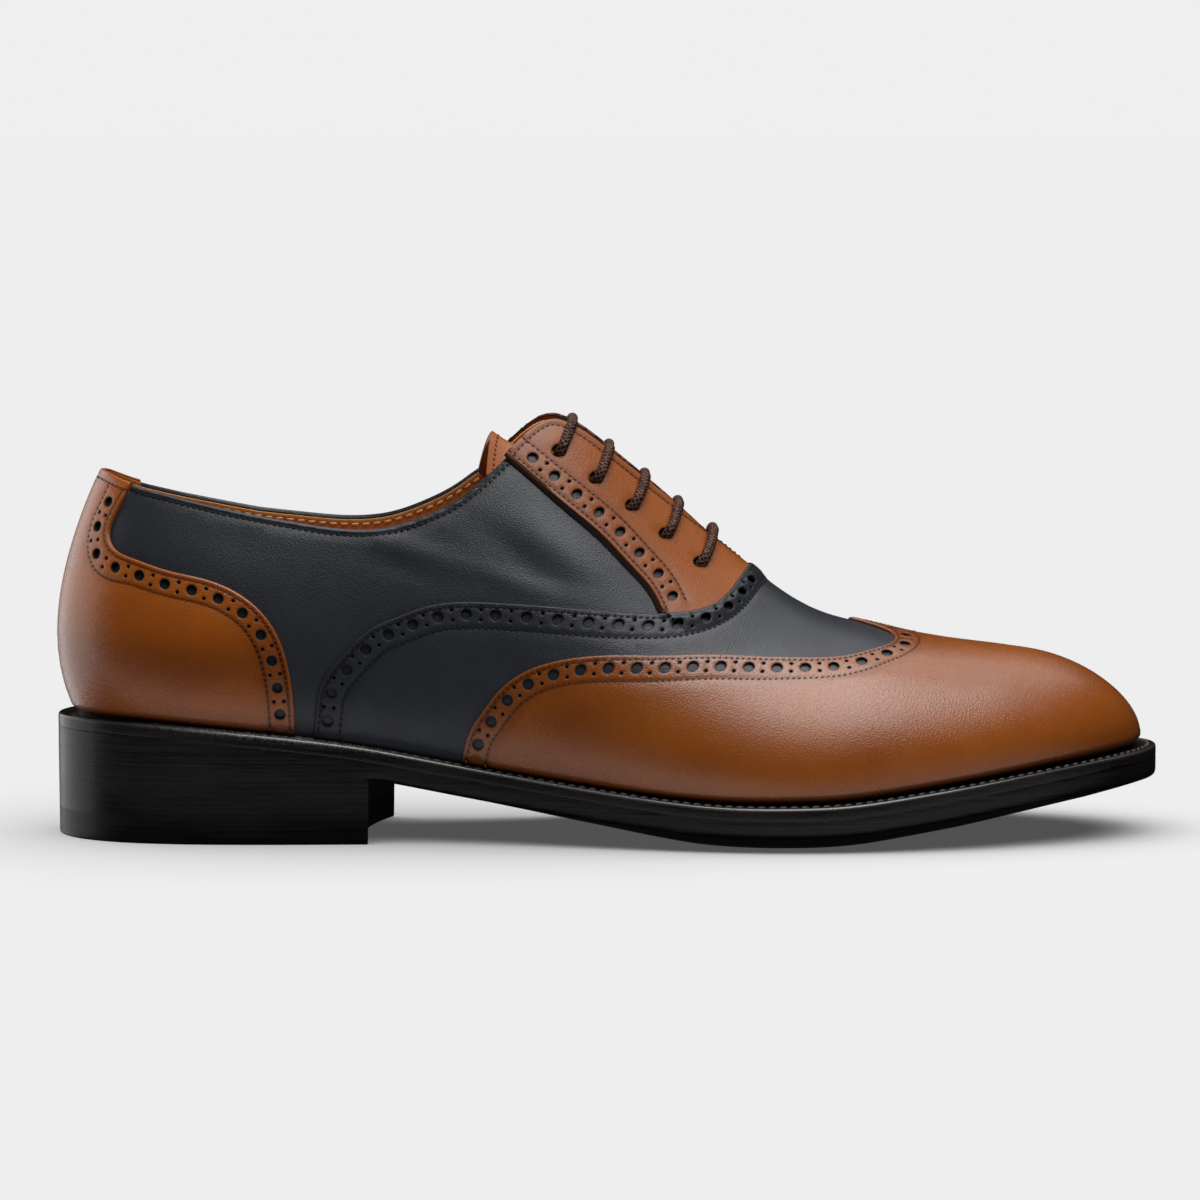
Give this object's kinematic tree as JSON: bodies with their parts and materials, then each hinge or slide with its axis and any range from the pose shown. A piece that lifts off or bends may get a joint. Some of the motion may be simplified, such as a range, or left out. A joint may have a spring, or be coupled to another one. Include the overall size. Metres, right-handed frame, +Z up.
{
  "type": "brogue oxford shoe",
  "caption": "Two-tone wing-tip brogue oxford, right shoe, with a hollow leather upper, closed lacing and a stacked heel.",
  "frame": {"origin": "middle of the shoe's bounding box on the floor", "axes": "+X to the toe, +Y to the inner (medial) side, +Z up"},
  "size_m": [0.3024, 0.1041, 0.1171],
  "materials": {
    "tan_leather": "burnished tan calf with a satin wax shine",
    "navy_leather": "fine-grained navy calf, satin",
    "black_leather": "inked and waxed sole leather edge",
    "black_rubber": "matt rubber top lift",
    "insole_leather": "smooth undyed lining leather",
    "brown_cord": "round waxed cotton cord"
  },
  "bodies": {
    "root": {"outsole": "black_leather", "welt": "black_leather", "heel_stack": "black_leather", "top_lift": "black_rubber", "insole": "insole_leather", "upper": "navy_leather", "tongue": "tan_leather", "wing_cap": "tan_leather", "vamp": "navy_leather", "heel_counter": "tan_leather", "eyestay_lateral": "tan_leather", "eyestay_medial": "tan_leather", "lace": "brown_cord"}
  },
  "joints": []
}
